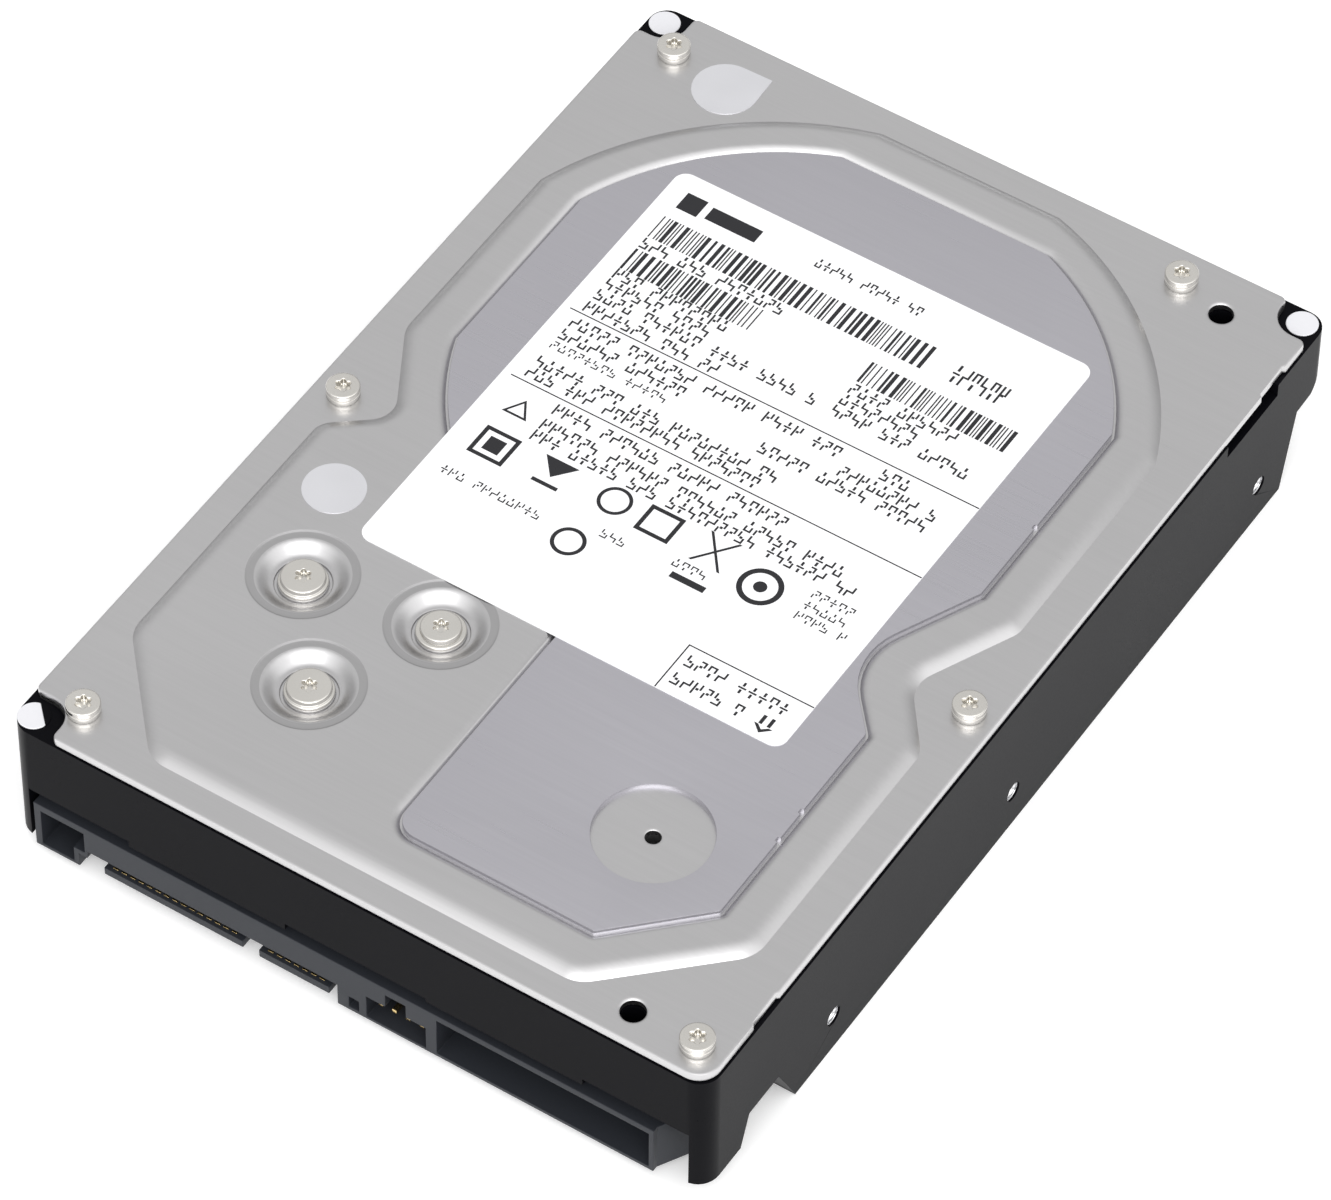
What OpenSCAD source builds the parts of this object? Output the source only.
// Hard disk drive, 3.5-inch form factor, built as the pieces it comes apart into.
// Origin: centre of the bottom face, on the plane the side rails rest on.
// X runs across the drive, Y along it (connector end at -Y), Z up to the cover.

/* [Body] */
// Width across the side rails
body_w = 101.6; // [101.4:0.1:101.8]
// Length from the connector end to the back end
body_l = 146; // [145.8:0.1:146.4]
// Height from the rail faces to the tops of the cover screws
body_h = 26.1; // [25.9:0.1:26.3]
// Plan radius of the two back corners of the casting
back_corner_r = 2.7; // [2:0.1:3]
// Plan radius of the two front corners of the casting
front_corner_r = 3; // [2:0.1:3.2]
// Underside of the legs beside the connector, above the rail faces
leg_z = 3; // [2:0.5:4]

/* [Cover] */
// Thickness of the pressed cover sheet
sheet_t = 0.8; // [0.6:0.1:0.9]
// Rise of the raised panel above the flange
emboss_h = 1; // [0.8:0.1:1.2]
// Thickness of the damping plate bonded into the panel
damper_t = 0.65; // [0.5:0.05:0.7]
// Width of the groove round the damping plate
groove_w = 1.2; // [0.8:0.1:1.4]
// Thickness of the sealing gasket under the flange
gasket_t = 0.6; // [0.5:0.1:0.8]
// Height of the cover screw heads above the flange
screw_head_h = 1.7; // [1.5:0.1:1.8]
// Radius of the cover screw heads
screw_head_r = 2.2; // [2:0.1:2.4]

/* [Discs] */
// Number of discs on the spindle
disc_count = 4; // [2:1:4]
// Outer radius of a disc
disc_r = 47.5; // [47:0.1:47.6]
// Radius of the hole in a disc
disc_bore_r = 12.5; // [12.5:0.1:12.7]
// Thickness of a disc
disc_t = 1.27; // [1.2:0.01:1.3]
// Distance from one disc to the next
disc_pitch = 3.2; // [3.1:0.05:3.2]
// Height of the underside of the lowest disc
disc_z0 = 8.6; // [8.6:0.1:8.7]

/* [Actuator] */
// Distance from the pivot to the head gap
head_reach = 50; // [49.8:0.1:50.2]
// Direction of the arms from +X when the heads are parked
park_angle = 19; // [18.5:0.5:19.5]
// Travel from parked to the innermost track
swing = 35; // [33:1:36]
// Inner radius of the voice coil
coil_r1 = 13; // [12.5:0.5:13.5]
// Outer radius of the voice coil
coil_r2 = 26; // [25.5:0.5:26]

/* [Mounting holes] */
// Drill radius of the 6-32 tapped mounting holes
tap_r = 1.42; // [1.4:0.01:1.5]
// Height of the side holes above the rail faces
side_hole_z = 6.35; // [6.2:0.05:6.5]
// Distance between the bottom holes across the drive
bottom_hole_w = 95.25; // [95.1:0.05:95.4]

/* [Hidden] */
$fn = 64;

// Levels, from the bottom up
half_w = body_w / 2;
half_l = body_l / 2;
flange_top = body_h - screw_head_h;
flange_z = flange_top - sheet_t;
rim_z = flange_z - gasket_t;
panel_top = flange_top + emboss_h;
recess_top = panel_top - damper_t - 0.05;
recess_z = recess_top - sheet_t;
dimple_depth = 1.5;
dimple_top = panel_top - dimple_depth;
dimple_z = dimple_top - sheet_t;
under_z = 3.2;
floor_z = 5.5;
shelf_z = 13;
bay_depth = 7.8;
board_z = 1;
board_t = 1;
board_top = board_z + board_t;

// Centres
spindle = [0, 21.6];
pivot = [-14.3, -32.6];
yoke_screw_1 = [-33, -35.3];
yoke_screw_2 = [-22.4, -49.3];
breather = [25.3, -45.6];
pad_front_left = [-48.6, -70.4];
pad_back_left = [-48.5, 70.3];
pad_back_right = [48.1, 70.6];
pad_r = 2.1;
cover_screw_places = [[-43.4, -67.2], [46.6, -68.7], [-43.9, 65.4], [32, 67.4], [-46.2, -7.4], [46.7, -7.9]];
flange_holes = [[39.1, 65.4], [37.5, -68.6]];
cover_bore_r = 1.25;
chamber_r = 48.4;
bowl_r = 50.4;

// Sizes shared by several pieces
shaft_r = 2.5;
running_gap = 0.05;
bearing_r = 5.5;
comb_hub_r = 7.9;
vcm_dir = park_angle + 180 + swing / 2;
coil_half = 17;
coil_w = 3.4;
bobbin_half = 18.5;
stop_r = 2.3;
post_r = 1.5;
post_reach = 24;
stop_offset = asin(stop_r / post_reach) + bobbin_half + 0.7;
stop_places = [for (a = [park_angle + 180 - stop_offset, park_angle + 180 + swing + stop_offset])
    pivot + post_reach * [cos(a), sin(a)]];
lower_yoke_z = 7;
yoke_t = 2.4;
magnet_t = 2.4;
coil_z = 12.5;
coil_t = 3;
upper_magnet_z = coil_z + coil_t + 0.5;
upper_yoke_z = upper_magnet_z + magnet_t;
lower_magnet_z = lower_yoke_z + yoke_t;
arm_t = 0.9;
arm_z0 = disc_z0 + disc_t / 2 - disc_pitch / 2;
beam_t = 0.15;
slider_h = 0.28;
latch_pivot = [-43.2, -26.5];
latch_pin_r = 1;
connector_face = -half_l + 0.1;
connector_z = 1.4;
connector_top = 9.5;
tongue_z = 2.5;
tongue_t = 1.2;
contact_pitch = 1.27;
board_screw_places = [[-40.5, -24], [40.5, -24], [-36, 14.5], [36, 14.5]];

// ---------------------------------------------------------------- outlines

// Points of an arc, n steps from angle a0 to angle a1
function arc(c, r, a0, a1, n = 16) = [for (i = [0:n]) c + r * [cos(a0 + (a1 - a0) * i / n),
    sin(a0 + (a1 - a0) * i / n)]];

// The rounded corner at p between the neighbours a and b
function corner(p, a, b, r, n) =
    let (u = (a - p) / norm(a - p), v = (b - p) / norm(b - p), half = acos(u * v) / 2,
        c = p + (u + v) / norm(u + v) * r / sin(half), s = p + u * r / tan(half) - c,
        e = p + v * r / tan(half) - c, a0 = atan2(s[1], s[0]), turn = atan2(e[1], e[0]) - a0,
        d = turn > 180 ? turn - 360 : turn < -180 ? turn + 360 : turn)
    [for (i = [0:n]) c + r * [cos(a0 + d * i / n), sin(a0 + d * i / n)]];

// A closed outline from corners [x, y, radius]; radius 0 keeps the corner sharp
function outline(k, n = 5) = [for (i = [0:len(k) - 1])
    let (p = [k[i][0], k[i][1]], a = k[(i + len(k) - 1) % len(k)], b = k[(i + 1) % len(k)])
    each k[i][2] == 0 ? [p] : corner(p, [a[0], a[1]], [b[0], b[1]], k[i][2], n)];

// A closed outline moved outwards by d, or inwards if d is negative; points run anticlockwise
function edge_normal(a, b) = [b[1] - a[1], a[0] - b[0]] / norm(b - a);
function without_repeats(p) = [for (i = [0:len(p) - 1]) if (norm(p[(i + 1) % len(p)] - p[i]) > 0.01) p[i]];
function shifted(p, d) = let (q = without_repeats(p), m = len(q)) [for (i = [0:m - 1])
    let (n1 = edge_normal(q[(i + m - 1) % m], q[i]), n2 = edge_normal(q[i], q[(i + 1) % m]), w = n1 + n2)
    q[i] + w * 2 * d / (w * w)];

// Point at a radius and an angle about the actuator pivot
function about_pivot(r, a) = pivot + r * [cos(a), sin(a)];

module at(p, z = 0) translate([p[0], p[1], z]) children();

module cyl(r, z0, z1) translate([0, 0, z0]) cylinder(r = r, h = z1 - z0);

module ring(r1, r2, z0, z1) translate([0, 0, z0]) rotate_extrude()
    translate([r1, 0]) square([r2 - r1, z1 - z0]);

module slab(p0, p1, z0, z1) translate([p0[0], p0[1], z0])
    cube([p1[0] - p0[0], p1[1] - p0[1], z1 - z0]);

module plate(points, z0, z1) translate([0, 0, z0]) linear_extrude(z1 - z0) polygon(points);

// The outline of a ring sector centred on +X
function sector_points(r1, r2, half) = concat(arc([0, 0], r2, -half, half), arc([0, 0], r1, half, -half));

// A flat sector of a ring about the pivot
module sector(r1, r2, a0, a1, z0, z1) at(pivot) rotate((a0 + a1) / 2)
    plate(sector_points(r1, r2, (a1 - a0) / 2), z0, z1);

casting_plan = outline([[-half_w, -half_l, front_corner_r], [half_w, -half_l, front_corner_r],
    [half_w, half_l, back_corner_r], [-half_w, half_l, back_corner_r]], 8);

// The cover sheet: notched round three of the corner posts, plain at the fourth
cover_plan = outline([
    [-44.3, -half_l + 0.2, 0.9], [half_w - 0.25, -half_l + 0.2, 3],
    [half_w - 0.25, 67.2, 0.9], [44.9, 67.2, 3.5], [44.9, half_l - 0.7, 0.9],
    [-45, half_l - 0.7, 0.9], [-45, 66.6, 3.3], [-half_w + 0.4, 66.6, 0.9],
    [-half_w + 0.4, -67.6, 0.9], [-44.3, -67.6, 3.3]]);

// The raised panel, with its two waists beside the middle screws
panel_low = [[-45.9, -13.1, 3], [-45.9, -53.7, 5], [-32.3, -69, 5], [29.7, -69, 5], [45.3, -53.9, 5],
    [45.3, -16.8, 4], [38.6, -8.05, 4.5], [45.3, 6, 4]];
panel_arc_r = 48.4;
panel_left = -45.9;
panel_right = 45.3;
panel_back = 68.1;
panel_waist = [[-45.9, 6, 5], [-38.5, -7.1, 3.5]];
panel_points = let (right = asin((panel_right - spindle[0]) / panel_arc_r),
    left = asin((panel_left - spindle[0]) / panel_arc_r),
    back = acos((panel_back - spindle[1]) / panel_arc_r),
    low = outline(concat(panel_low, [[panel_right, 20, 0], [panel_left, 20, 0]], panel_waist)),
    mid = [for (i = [0:len(low) - 1]) if (low[i][1] > 19) i])
    concat([for (i = [0:mid[0] - 1]) low[i]], arc(spindle, panel_arc_r, 90 - right, 90 - back, 14),
        arc(spindle, panel_arc_r, 90 + back, 90 - left, 14), [for (i = [mid[1] + 1:len(low) - 1]) low[i]]);

// The cavity in the casting: the disc chamber and the actuator bay
module cavity_plan() {
    at(spindle) circle(r = chamber_r, $fn = 96);
    polygon([for (q = panel_points) if (q[1] < 37) q]);
}

// The damping plate: a disc shape with straight sides, a waist and a leg towards the connector
plate_c = [0.3, 22.1];
plate_r = 41.9;
plate_left = -39.15;
plate_right = 38.45;
plate_back = 61;
plate_front = -61.9;
plate_plan = let (right = asin((plate_right - plate_c[0]) / plate_r),
    left = asin((plate_c[0] - plate_left) / plate_r), back = acos((plate_back - plate_c[1]) / plate_r))
    concat(outline([[plate_right, -30, 0], [plate_right, -18.4, 1], [30.2, -8.9, 10],
        [plate_right, 8.3, 1], [plate_right, 20, 0]]),
        arc(plate_c, plate_r, 90 - right, 90 - back, 12), arc(plate_c, plate_r, 90 + back, 90 + left, 12),
        arc(plate_c, plate_r, 270 - left, 242, 12),
        outline([[-1.5, -23, 0], [-1.5, plate_front, 3], [27.5, plate_front, 0], [plate_right, -51, 0]]));

// The plate's outline, or one that stands off it by a gap
function plate_points(gap = 0) = gap == 0 ? plate_plan : shifted(plate_plan, gap);

// ---------------------------------------------------------------- case

// The side view of the rails: legs at the connector end, a raised heel at the back
module rail_cuts() rotate([90, 0, 90]) translate([0, 0, -half_w - 1]) linear_extrude(body_w + 2) {
    polygon([[-half_l - 1, -1], [-half_l - 1, leg_z], [-65.2, leg_z], [-63.4, 8], [-56.9, 8],
        [-53, 0.3], [-52.7, -1]]);
    polygon([[62.8, -1], [63.2, 0.5], [66.1, 12.1], [69.6, 12.3], [71.2, 13.9],
        [half_l + 1, 13.9], [half_l + 1, -1]]);
}

module mounting_holes() {
    for (x = [-1, 1]) {
        for (y = [28.5, 70.1, 130.1])
            translate([x * (half_w + 0.1), y - half_l, side_hole_z]) rotate([0, -x * 90, 0])
                cylinder(r = tap_r, h = 4.1);
        for (y = [41.28, 85.73])
            translate([x * bottom_hole_w / 2, y - half_l, -0.1]) cylinder(r = tap_r, h = 4.6);
    }
}

module base_casting() color([0.1, 0.1, 0.11]) {
    difference() {
        union() {
            difference() {
                plate(casting_plan, 0, rim_z);
                rail_cuts();
                // Hollow underside between the rails
                slab([-45.2, -half_l - 1], [45.2, 62], -1, under_z);
            }
            // Bowl of the disc chamber
            intersection() {
                plate(casting_plan, under_z, rim_z);
                at(spindle) cyl(bowl_r, under_z, rim_z);
            }
        }
        // Disc chamber and actuator bay
        difference() {
            translate([0, 0, floor_z]) linear_extrude(rim_z) cavity_plan();
            slab([-50, -72], [50, -half_l + bay_depth + 1.2], floor_z - 1, shelf_z);
        }
        // Bay for the connector, with the stepped lower edge of the front wall above it
        slab([-48.3, -half_l - 1], [48.3, -half_l + bay_depth], -1, 10.9);
        for (s = [[-48.3, -33.2, 11.9], [-10, 10.6, 12], [10.6, 33.2, 11.4], [33.2, 48.3, 12.5]])
            slab([s[0], -half_l - 1], [s[1], -half_l + 2.4], 10, s[2]);
        // Seats of the motor bracket and the head connector
        at(spindle) cyl(13.5, 0, floor_z + 1);
        slab([-5, -57], [13, -49], 0, floor_z + 1);
        // Shallow recess in the rim over the right-hand rail
        slab([half_w - 1.6, 47.5], [half_w + 1, 60], 21, rim_z + 1);
        for (p = cover_screw_places) at(p) cyl(cover_bore_r, rim_z - 8, rim_z + 1);
        for (p = flange_holes) at(p) cyl(1.6, rim_z - 6, rim_z + 1);
        mounting_holes();
    }
    for (p = [pad_front_left, pad_back_left, pad_back_right]) at(p) cyl(pad_r, rim_z, rim_z + 0.15);
    // Bosses under the floor that carry the circuit board
    for (p = board_screw_places) at(p) ring(1, 2.4, board_top + 0.4, under_z + 0.1);
    // Seats of the lower yoke on the chamber floor
    for (p = stop_places) at(p) ring(post_r, 3, floor_z, lower_yoke_z);
}

module top_cover() color([0.72, 0.72, 0.74]) difference() {
    union() {
        difference() {
            union() {
                plate(cover_plan, flange_z, flange_top);
                plate(panel_points, flange_z, panel_top);
            }
            // Hollow under the raised panel, round the recess for the damping plate
            difference() {
                plate(shifted(panel_points, -1), flange_z - 1, panel_top - sheet_t);
                plate(plate_points(groove_w + 0.9), flange_z - 2, panel_top);
            }
            plate(plate_points(groove_w), recess_top, panel_top + 1);
            plate(plate_points(groove_w - 0.1), flange_z - 2, recess_z);
        }
        for (p = [pivot, yoke_screw_1, yoke_screw_2]) at(p) cyl(6.9, dimple_z, panel_top - 0.1);
    }
    for (p = [pivot, yoke_screw_1, yoke_screw_2]) at(p) {
        translate([0, 0, dimple_top]) cylinder(r1 = 4, r2 = 6.7, h = dimple_depth + 0.01);
        cyl(1.4, dimple_z - 1, panel_top);
    }
    for (p = cover_screw_places) at(p) cyl(1.6, flange_z - 1, flange_top + 1);
    for (p = flange_holes) at(p) cyl(1.65, flange_z - 1, flange_top + 1);
    at(breather) cyl(1.05, recess_z - 1, recess_top + 1);
}

module damper_plate() color([0.67, 0.66, 0.69]) difference() {
    plate(plate_points(), recess_top, panel_top);
    at(breather) cyl(7.6, recess_top - 1, panel_top + 1);
}

module cover_gasket() color([0.08, 0.08, 0.08]) difference() {
    intersection() {
        plate(cover_plan, rim_z, flange_z);
        slab([-half_w + 1, -half_l + 1.4], [half_w - 1, half_l - 1.4], rim_z, flange_z);
    }
    translate([0, 0, rim_z - 1]) linear_extrude(gasket_t + 2) cavity_plan();
    for (p = cover_screw_places) at(p) cyl(1.6, rim_z - 1, flange_z + 1);
    for (p = flange_holes) at(p) cyl(2, rim_z - 1, flange_z + 1);
}

// A pan-head screw with a six-lobed recess; z is the seat of the head
module torx_screw(z, head_r, head_h, shank_r, length) difference() {
    union() {
        cyl(head_r, z, z + head_h);
        cyl(shank_r, z - length, z + 0.01);
    }
    translate([0, 0, z + head_h - 0.9]) {
        cylinder(r = head_r * 0.36, h = 1);
        for (a = [0:60:300]) rotate(a) translate([head_r * 0.36, 0, 0])
            cylinder(r = head_r * 0.11, h = 1, $fn = 16);
    }
}

module cover_screws() color([0.78, 0.77, 0.74])
    for (p = cover_screw_places) at(p) torx_screw(flange_top, screw_head_r, screw_head_h, cover_bore_r, 7);

module yoke_screws() color([0.78, 0.77, 0.74])
    for (p = [yoke_screw_1, yoke_screw_2]) at(p) torx_screw(dimple_top, 3.2, 1.3, 1.2, 4);

module pivot_screw() color([0.78, 0.77, 0.74]) at(pivot) torx_screw(dimple_top, 2.4, 1.3, 1.2, 4);

module drive_label() color([0.95, 0.95, 0.95])
    plate(outline([[-31.1, -26.5, 1.8], [31.1, -26.5, 1.8], [31.1, 47.6, 1.8], [-31.1, 47.6, 1.8]]),
        panel_top, panel_top + 0.1);

module teardrop_seal() color([0.85, 0.85, 0.86]) at([-34.7, 63.6])
    plate(concat(arc([0, 0], 4.5, 90, 360, 24), [[4.3, 4.6]]), flange_top, flange_top + 0.08);

module round_seal() color([0.85, 0.85, 0.86]) at([-37.7, -21.7]) cyl(4.1, panel_top, panel_top + 0.08);

// Charcoal breather cartridge under the pressure-equalising hole
module breather_filter() color([0.85, 0.85, 0.8]) at(breather) difference() {
    cyl(7, recess_z - 3, recess_z);
    cyl(1.05, recess_z - 1.5, recess_z + 1);
}

// Fibre cushion that cleans the air the discs throw outwards
module recirculation_filter() color([0.93, 0.93, 0.9]) at([-40.6, -17.2], floor_z)
    rotate(-47.6) translate([-3.5, -1, 0]) cube([7, 2, rim_z - floor_z - 1]);

// ---------------------------------------------------------------- electronics

board_plan = outline([[-44.6, -64.9, 0], [44.6, -64.9, 0], [44.6, 5, 2], [40.6, 9, 2], [40.6, 18, 2],
    [-40.6, 18, 2], [-40.6, 9, 2], [-44.6, 5, 2]]);

module circuit_board() color([0.05, 0.25, 0.15]) difference() {
    plate(board_plan, board_z, board_top);
    at(spindle) cyl(17, board_z - 1, board_top + 1);
    for (p = board_screw_places) at(p) cyl(1.2, board_z - 1, board_top + 1);
}

module board_screws() color([0.75, 0.75, 0.72]) for (p = board_screw_places) at(p) {
    cyl(2.1, board_z - 0.6, board_z);
    cyl(1, board_z - 0.1, under_z);
}

// Foam sheet that keeps the parts on the board off the casting
module board_insulator() color([0.2, 0.2, 0.2]) difference() {
    slab([-38, -46], [38, -2], board_top + 0.8, under_z);
    slab([-20, -35], [4, -14], 0, 5);
    slab([12, -42], [27, -30], 0, 5);
    slab([-14, -10], [-2, 0], 0, 5);
    for (p = board_screw_places) at(p) cyl(3, 0, 5);
}

module chip(p, w, l) at(p) {
    translate([-w / 2, -l / 2, board_top + 0.1]) cube([w, l, 0.9]);
    for (s = [-1, 1], i = [-4:4]) {
        translate([i * w / 11 - 0.15, s * (l / 2 + 0.25) - 0.35, board_top]) cube([0.3, 0.7, 0.3]);
        translate([s * (w / 2 + 0.25) - 0.35, i * l / 11 - 0.15, board_top]) cube([0.7, 0.3, 0.3]);
    }
}

module controller_chip() color([0.06, 0.06, 0.06]) chip([-8, -24.5], 18, 18);
module memory_chip() color([0.06, 0.06, 0.06]) chip([19.5, -36], 12, 9);
module motor_driver_chip() color([0.06, 0.06, 0.06]) chip([-8, -5], 8, 8);

// Capacitors, the crystal and coils between the chips
module board_small_parts() color([0.55, 0.45, 0.3]) {
    for (x = [-34:4:-22], y = [-40, -30, -12]) slab([x, y], [x + 1.6, y + 0.9], board_top, board_top + 0.7);
    for (x = [10:4:34], y = [-24, -18, -8]) slab([x, y], [x + 1.6, y + 0.9], board_top, board_top + 0.7);
    for (x = [-30, 26]) slab([x, -54], [x + 6, -49], board_top, board_top + 1.1);
}

module connector_housing() color([0.23, 0.24, 0.26]) difference() {
    // Main bar with a mounting wing at each end
    plate([[-47.8, connector_face], [43.3, connector_face], [43.3, connector_face + 0.8], [46.6, -66.4],
        [46.6, -65.4], [-47.8, -65.4]], connector_z, connector_top);
    // The board comes in from behind
    slab([-50, -64.9 - 0.1], [50, -60], board_z - 1, board_top);
    slab([-44.8, -67.5], [44.8, -60], board_z - 1, board_top);
    // Open front below the upper wall, round both tongues
    slab([-39.9, connector_face - 1], [-2.6, connector_face + 5.2], tongue_z + tongue_t, 5.1);
    slab([-39.9, connector_face - 1], [-2.6, connector_face + 5.2], 0, tongue_z);
    for (g = [[-39.9, -37.4], [-16.6, -14.2], [-3.8, -2.6]])
        slab([g[0], connector_face - 1], [g[1], connector_face + 5.2], 0, 5.1);
    // Keyed pocket at the left end
    slab([-46.8, connector_face - 1], [-42, connector_face + 5.6], 1.9, 8.3);
    slab([-42.1, connector_face - 1], [-40.3, connector_face + 5.6], 4.6, 8.3);
    slab([-41.2, connector_face - 1], [-38, connector_face + 4], 0, 3.8);
    // Jumper box with its raised centre
    slab([1.7, connector_face - 1], [10.4, connector_face + 5.4], 1.9, 5.8);
    slab([4.5, connector_face - 1], [7.5, connector_face + 5.4], 5, 8.1);
    slab([-0.9, connector_face - 1], [0.6, connector_face + 1.2], 2, 4);
    // Wide empty bay where other versions carry a power socket
    slab([12, connector_face - 1], [42.6, connector_face + 6.2], 2, 8.5);
}

// Gold fingers laid on the tongues
module contacts(x0, count) for (i = [0:count - 1])
    slab([x0 + i * contact_pitch - 0.4, connector_face + 0.5],
        [x0 + i * contact_pitch + 0.4, connector_face + 5.2],
        tongue_z + tongue_t, tongue_z + tongue_t + 0.12);

module sata_power_contacts() color([0.85, 0.68, 0.3]) contacts(-36, 15);
module sata_data_contacts() color([0.85, 0.68, 0.3]) contacts(-12.8, 7);

module jumper_pins() color([0.85, 0.68, 0.3]) for (x = [3, 5, 7, 9])
    slab([x - 0.32, connector_face + 1.2], [x + 0.32, connector_face + 5.4], 3.6, 4.24);

module head_connector() color([0.15, 0.15, 0.15]) difference() {
    slab([-4.2, -56.4], [12.2, -49.6], board_top, floor_z);
    for (i = [0:10]) slab([-3 + i * 1.27, -55.6], [-2.5 + i * 1.27, -50.4], board_top - 1, board_top + 1.4);
}

// ---------------------------------------------------------------- spindle

module motor_bracket() color([0.7, 0.7, 0.72]) at(spindle) difference() {
    union() {
        cyl(13.5, board_top + 0.6, floor_z);
        cyl(5.3, floor_z - 0.1, 10.2);
    }
    cyl(shaft_r, 0, 12);
    cyl(4.4, floor_z - 0.4, 12);
}

teeth = 9;
module stator_core() color([0.45, 0.45, 0.47]) at(spindle) {
    ring(5.3, 6.5, 6.6, 9.2);
    for (i = [0:teeth - 1]) rotate(i * 360 / teeth) {
        translate([6.3, -0.6, 6.6]) cube([2.9, 1.2, 2.6]);
        translate([0, 0, 6.6]) linear_extrude(2.6)
            polygon(concat(arc([0, 0], 9.9, -13, 13, 6), arc([0, 0], 9.1, 13, -13, 6)));
    }
}

module stator_coils() color([0.7, 0.35, 0.15]) at(spindle) for (i = [0:teeth - 1]) rotate(i * 360 / teeth)
    difference() {
        translate([6.75, -1.45, 6.1]) cube([2.1, 2.9, 3.6]);
        translate([6, -0.6, 6.6]) cube([3.5, 1.2, 2.6]);
    }

module spindle_shaft() color([0.8, 0.8, 0.82]) at(spindle) cyl(shaft_r, board_top + 0.6, 21.2);

hub_top = disc_z0 + 3 * disc_pitch + disc_t + 0.8;
module spindle_hub() color([0.75, 0.75, 0.77]) at(spindle) difference() {
    rotate_extrude() polygon([[shaft_r + running_gap, 5.7], [4.1, 5.7], [4.1, 11.5], [11.3, 11.5],
        [11.3, 6.2], [15, 6.2], [15, disc_z0], [disc_bore_r, disc_z0], [disc_bore_r, hub_top],
        [shaft_r + running_gap, hub_top]]);
    for (a = [0:60:300]) rotate(a) translate([8.2, 0, 0]) cyl(1, hub_top - 4, hub_top + 1);
}

module rotor_magnet() color([0.3, 0.3, 0.32]) at(spindle) ring(10.15, 11.3, 6.4, 10.4);

module disc(i) color([0.85, 0.85, 0.87]) at(spindle)
    ring(disc_bore_r, disc_r, disc_z0 + i * disc_pitch, disc_z0 + i * disc_pitch + disc_t);
module disc_1() disc(0);
module disc_2() disc(1);
module disc_3() disc(2);
module disc_4() disc(3);

module disc_spacers() color([0.7, 0.7, 0.72]) at(spindle) for (i = [0:2])
    ring(disc_bore_r, 15.5, disc_z0 + i * disc_pitch + disc_t, disc_z0 + (i + 1) * disc_pitch);

module disc_clamp() color([0.72, 0.72, 0.74]) at(spindle) difference() {
    union() {
        ring(disc_bore_r, 15.5, hub_top - 0.8, hub_top + 0.1);
        ring(4, 15.5, hub_top, hub_top + 1);
    }
    for (a = [0:60:300]) rotate(a) translate([8.2, 0, 0]) cyl(1.1, hub_top - 1, hub_top + 2);
}

module clamp_screws() color([0.78, 0.77, 0.74]) at(spindle) for (a = [0:60:300])
    rotate(a) translate([8.2, 0, 0]) torx_screw(hub_top + 1, 1.8, 0.9, 1, 4);

// ---------------------------------------------------------------- actuator

module pivot_shaft() color([0.8, 0.8, 0.82]) at(pivot) difference() {
    union() {
        cyl(shaft_r, floor_z, dimple_z);
        cyl(4, floor_z, 6.4);
    }
    cyl(1.2, dimple_z - 4, dimple_z + 1);
}

module pivot_bearing() color([0.7, 0.7, 0.73]) at(pivot) ring(shaft_r + running_gap, bearing_r, 6.6, 21.4);

comb_z0 = arm_z0 - arm_t / 2;
comb_z1 = arm_z0 + 4 * disc_pitch + arm_t / 2;
module actuator_comb() color([0.74, 0.74, 0.76]) {
    at(pivot) ring(bearing_r, comb_hub_r, comb_z0, comb_z1);
    for (i = [0:disc_count]) at(pivot, arm_z0 + i * disc_pitch - arm_t / 2) rotate(park_angle)
        linear_extrude(arm_t) difference() {
            polygon([[5, -6.2], [37, -3], [38, -2], [38, 2], [37, 3], [5, 6.2]]);
            circle(r = bearing_r + 1);
            translate([17, 0]) circle(r = 2.6);
            translate([25, 0]) circle(r = 2);
        }
}

// Sprung load beams: one over and one under every disc
beam_places = [for (i = [0:disc_count], s = [-1, 1]) let (level = i + s / 2)
    if (level > 0 && level < disc_count) [i, s]];
module suspensions() color([0.82, 0.82, 0.84]) for (b = beam_places)
    at(pivot, arm_z0 + b[0] * disc_pitch + (b[1] > 0 ? arm_t / 2 : -arm_t / 2 - beam_t)) rotate(park_angle)
        linear_extrude(beam_t) polygon([[32, -2.6], [38, -2.6], [head_reach, -0.8], [head_reach + 1, -0.4],
            [head_reach + 3, -0.4], [head_reach + 3, 0.4], [head_reach + 1, 0.4], [head_reach, 0.8],
            [38, 2.6], [32, 2.6]]);

module head_sliders() color([0.25, 0.25, 0.27]) for (b = beam_places)
    at(pivot, arm_z0 + b[0] * disc_pitch + (b[1] > 0 ? arm_t / 2 + beam_t : -arm_t / 2 - beam_t - slider_h))
        rotate(park_angle) translate([head_reach - 0.62, -0.5, 0]) cube([1.24, 1, slider_h]);

module voice_coil() color([0.72, 0.38, 0.16]) difference() {
    sector(coil_r1, coil_r2, park_angle + 180 - coil_half, park_angle + 180 + coil_half,
        coil_z, coil_z + coil_t);
    sector(coil_r1 + coil_w, coil_r2 - coil_w, park_angle + 180 - coil_half + 8.5,
        park_angle + 180 + coil_half - 8.5, coil_z - 1, coil_z + coil_t + 1);
}

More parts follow.
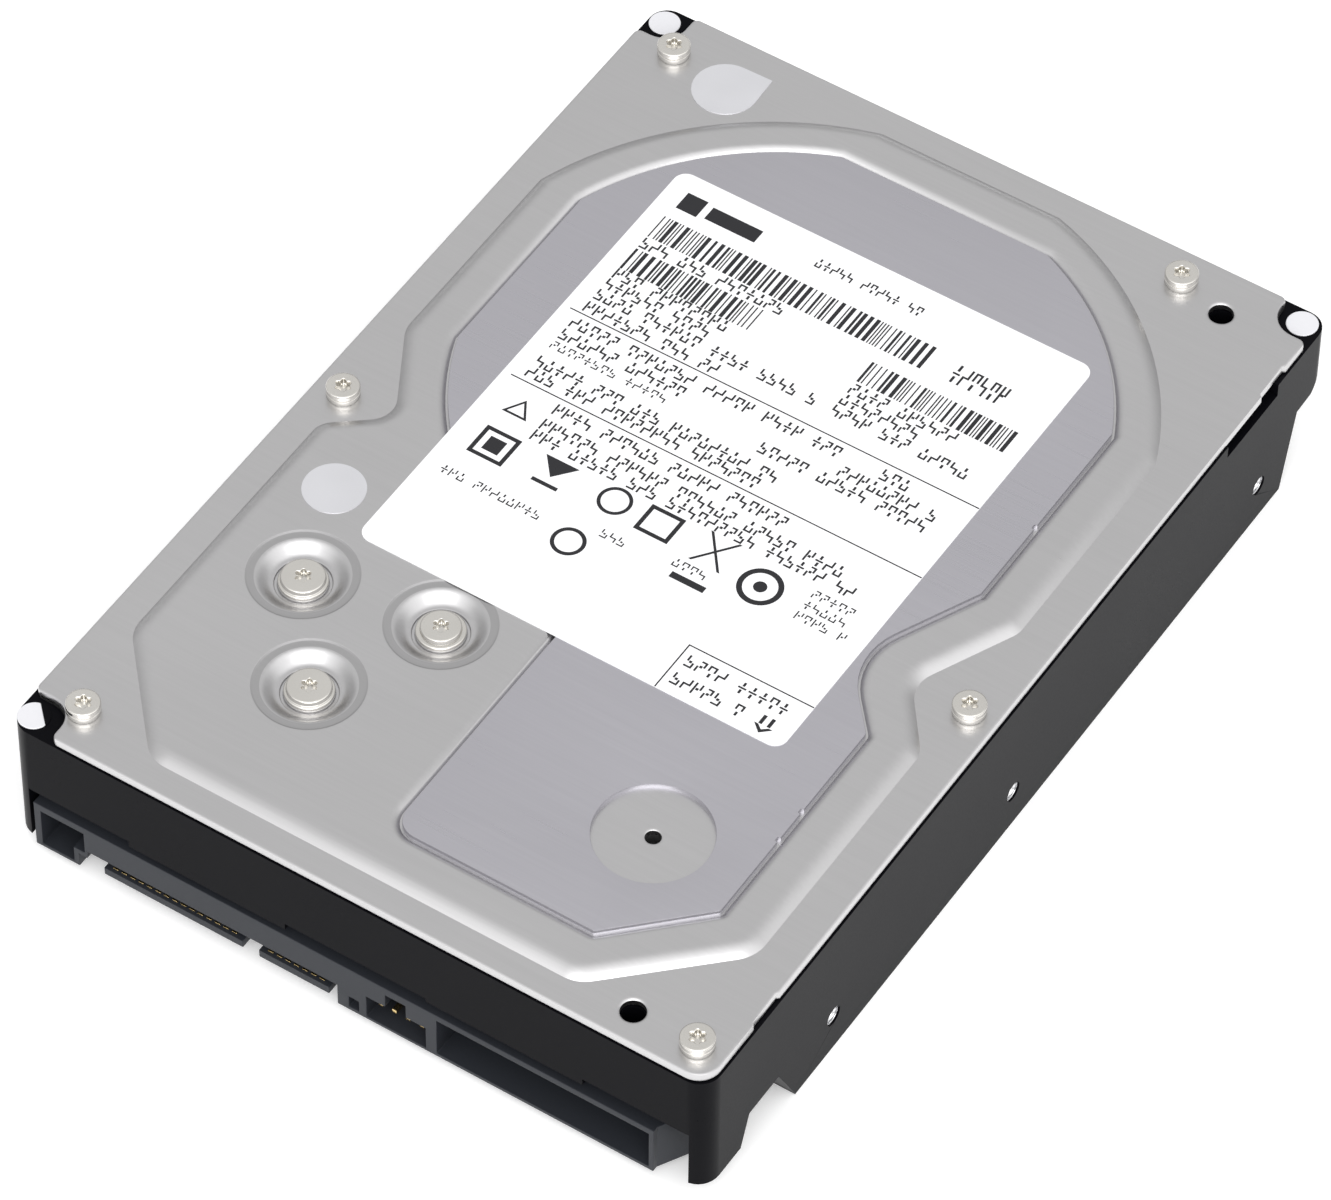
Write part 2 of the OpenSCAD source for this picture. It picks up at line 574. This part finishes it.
// Moulded frame round the coil, joined to the hub of the comb
module coil_bobbin() color([0.12, 0.12, 0.12]) at(pivot, coil_z) rotate(park_angle + 180)
    linear_extrude(coil_t) difference() {
        union() {
            polygon(sector_points(coil_r1 - 1.4, coil_r2 + 1, bobbin_half));
            polygon([[6, -5], [coil_r1 - 0.7, -3.6], [coil_r1 - 0.7, 3.6], [6, 5]]);
            // Tab that the latch catches
            rotate(-10) translate([coil_r2, -0.7]) square([2.2, 1.4]);
        }
        polygon(sector_points(coil_r1, coil_r2, coil_half));
        circle(r = comb_hub_r);
    }

// Flexible circuit glued to the side of the comb, with the preamplifier
module arm_flex() color([0.75, 0.5, 0.15]) at(pivot) rotate(park_angle) {
    translate([8.5, -7, 9]) cube([3.5, 0.8, 9]);
    translate([7.2, -6.4, 9]) cube([4.5, 1, 1]);
}

// The two plates of the voice-coil motor carry a magnet each
yoke_ears = 48;
module yoke_plan() difference() {
    union() {
        polygon(concat(arc(pivot, 29, vcm_dir - 31, vcm_dir + 31),
            arc(pivot, 10.5, vcm_dir + 31, vcm_dir - 31)));
        polygon(concat(arc(pivot, 27, vcm_dir - yoke_ears, vcm_dir + yoke_ears),
            arc(pivot, 21.5, vcm_dir + yoke_ears, vcm_dir - yoke_ears)));
    }
    for (p = stop_places) at(p) circle(r = post_r);
}

module lower_yoke() color([0.76, 0.76, 0.78])
    translate([0, 0, lower_yoke_z]) linear_extrude(yoke_t) yoke_plan();

module magnet_pair(z) for (s = [-1, 1])
    sector(12.5, 27.5, vcm_dir + s * 15 - 14.8, vcm_dir + s * 15 + 14.8, z, z + magnet_t);
module lower_magnets() color([0.6, 0.6, 0.62]) magnet_pair(lower_magnet_z);
module upper_magnets() color([0.6, 0.6, 0.62]) magnet_pair(upper_magnet_z);

module upper_yoke() color([0.76, 0.76, 0.78]) difference() {
    union() {
        translate([0, 0, upper_yoke_z]) linear_extrude(yoke_t) yoke_plan();
        for (p = [yoke_screw_1, yoke_screw_2]) at(p) cyl(3.2, upper_yoke_z + yoke_t, dimple_z);
    }
    for (p = [yoke_screw_1, yoke_screw_2]) at(p) cyl(1.2, upper_yoke_z, dimple_z + 1);
}

module yoke_posts() color([0.7, 0.7, 0.72]) for (p = stop_places) at(p)
    cyl(post_r, floor_z, upper_yoke_z + yoke_t);

module crash_stops() color([0.1, 0.1, 0.1]) for (p = stop_places) at(p)
    ring(post_r, stop_r, lower_magnet_z, upper_yoke_z);

// Ramp that the lift tabs slide onto when the heads park
ramp_r1 = head_reach + 1.2;
ramp_r2 = head_reach + 4;
module head_ramp() color([0.9, 0.88, 0.8]) difference() {
    union() {
        sector(ramp_r2 - 0.5, head_reach + 7, park_angle - 5, park_angle + 2.2, floor_z, comb_z1 - 0.2);
        for (i = [0:3]) sector(ramp_r1, ramp_r2, park_angle - 2, park_angle + 6,
            disc_z0 + i * disc_pitch - 0.33, disc_z0 + i * disc_pitch + disc_t + 0.33);
        sector(ramp_r2 - 0.5, head_reach + 10, park_angle - 10, park_angle - 1, floor_z, floor_z + 2);
    }
    for (i = [0:3]) at(spindle) cyl(disc_r + 0.3, disc_z0 + i * disc_pitch - 0.13,
        disc_z0 + i * disc_pitch + disc_t + 0.13);
    at(about_pivot(head_reach + 6.5, park_angle - 7.5)) cyl(1, floor_z - 1, floor_z + 3);
}

module ramp_screw() color([0.78, 0.77, 0.74]) at(about_pivot(head_reach + 6.5, park_angle - 7.5))
    torx_screw(floor_z + 2, 1.6, 1, 1, 2);

module flex_bracket() color([0.25, 0.25, 0.27]) {
    slab([-5, -57], [13, -49], floor_z, floor_z + 2);
    slab([2, -54], [4, -50], floor_z + 2, 18);
}

// Flexible circuit that loops from the bracket to the comb and gives with every swing
flex_t = 0.25;
flex_loop = [-0.6, -46.8];
flex_loop_r = 4.4;
flex_end = about_pivot(12.6, park_angle - 34.5);
module flex_cable() color([0.8, 0.55, 0.2]) plate(concat(
    arc(flex_loop, flex_loop_r, -45, 90, 10), [flex_end, flex_end + [0, -flex_t]],
    arc(flex_loop, flex_loop_r - flex_t, 90, -45, 10)), 9.5, 17.5);

// ---------------------------------------------------------------- latch

module latch_pin() color([0.8, 0.8, 0.82]) at(latch_pivot) cyl(latch_pin_r, floor_z, 18);

// Inertia lever: a knock swings its finger in front of the tab on the coil frame
module latch_lever() color([0.85, 0.85, 0.8]) at(latch_pivot) difference() {
    union() {
        cyl(2, coil_z - 0.5, coil_z + coil_t + 0.5);
        plate([[-1.2, 0], [-1.2, -13.6], [1.2, -13.6], [1.2, -12.6], [0.2, -12], [0.6, 0]],
            coil_z, coil_z + coil_t);
        plate([[-1.2, 0], [1.2, 0], [1.4, 3.4], [-1.4, 3.4]], coil_z, coil_z + coil_t);
    }
    cyl(latch_pin_r + running_gap, 0, 30);
}

base_casting();
top_cover();
damper_plate();
cover_gasket();
cover_screws();
drive_label();
teardrop_seal();
round_seal();
breather_filter();
recirculation_filter();
circuit_board();
board_screws();
board_insulator();
controller_chip();
memory_chip();
motor_driver_chip();
board_small_parts();
connector_housing();
sata_power_contacts();
sata_data_contacts();
jumper_pins();
head_connector();
motor_bracket();
stator_core();
stator_coils();
spindle_shaft();
spindle_hub();
rotor_magnet();
disc_1();
disc_2();
disc_3();
disc_4();
disc_spacers();
disc_clamp();
clamp_screws();
pivot_shaft();
pivot_screw();
lower_yoke();
lower_magnets();
upper_yoke();
upper_magnets();
yoke_screws();
yoke_posts();
crash_stops();
head_ramp();
ramp_screw();
flex_bracket();
flex_cable();
actuator_comb();
pivot_bearing();
voice_coil();
coil_bobbin();
suspensions();
head_sliders();
arm_flex();
latch_pin();
latch_lever();
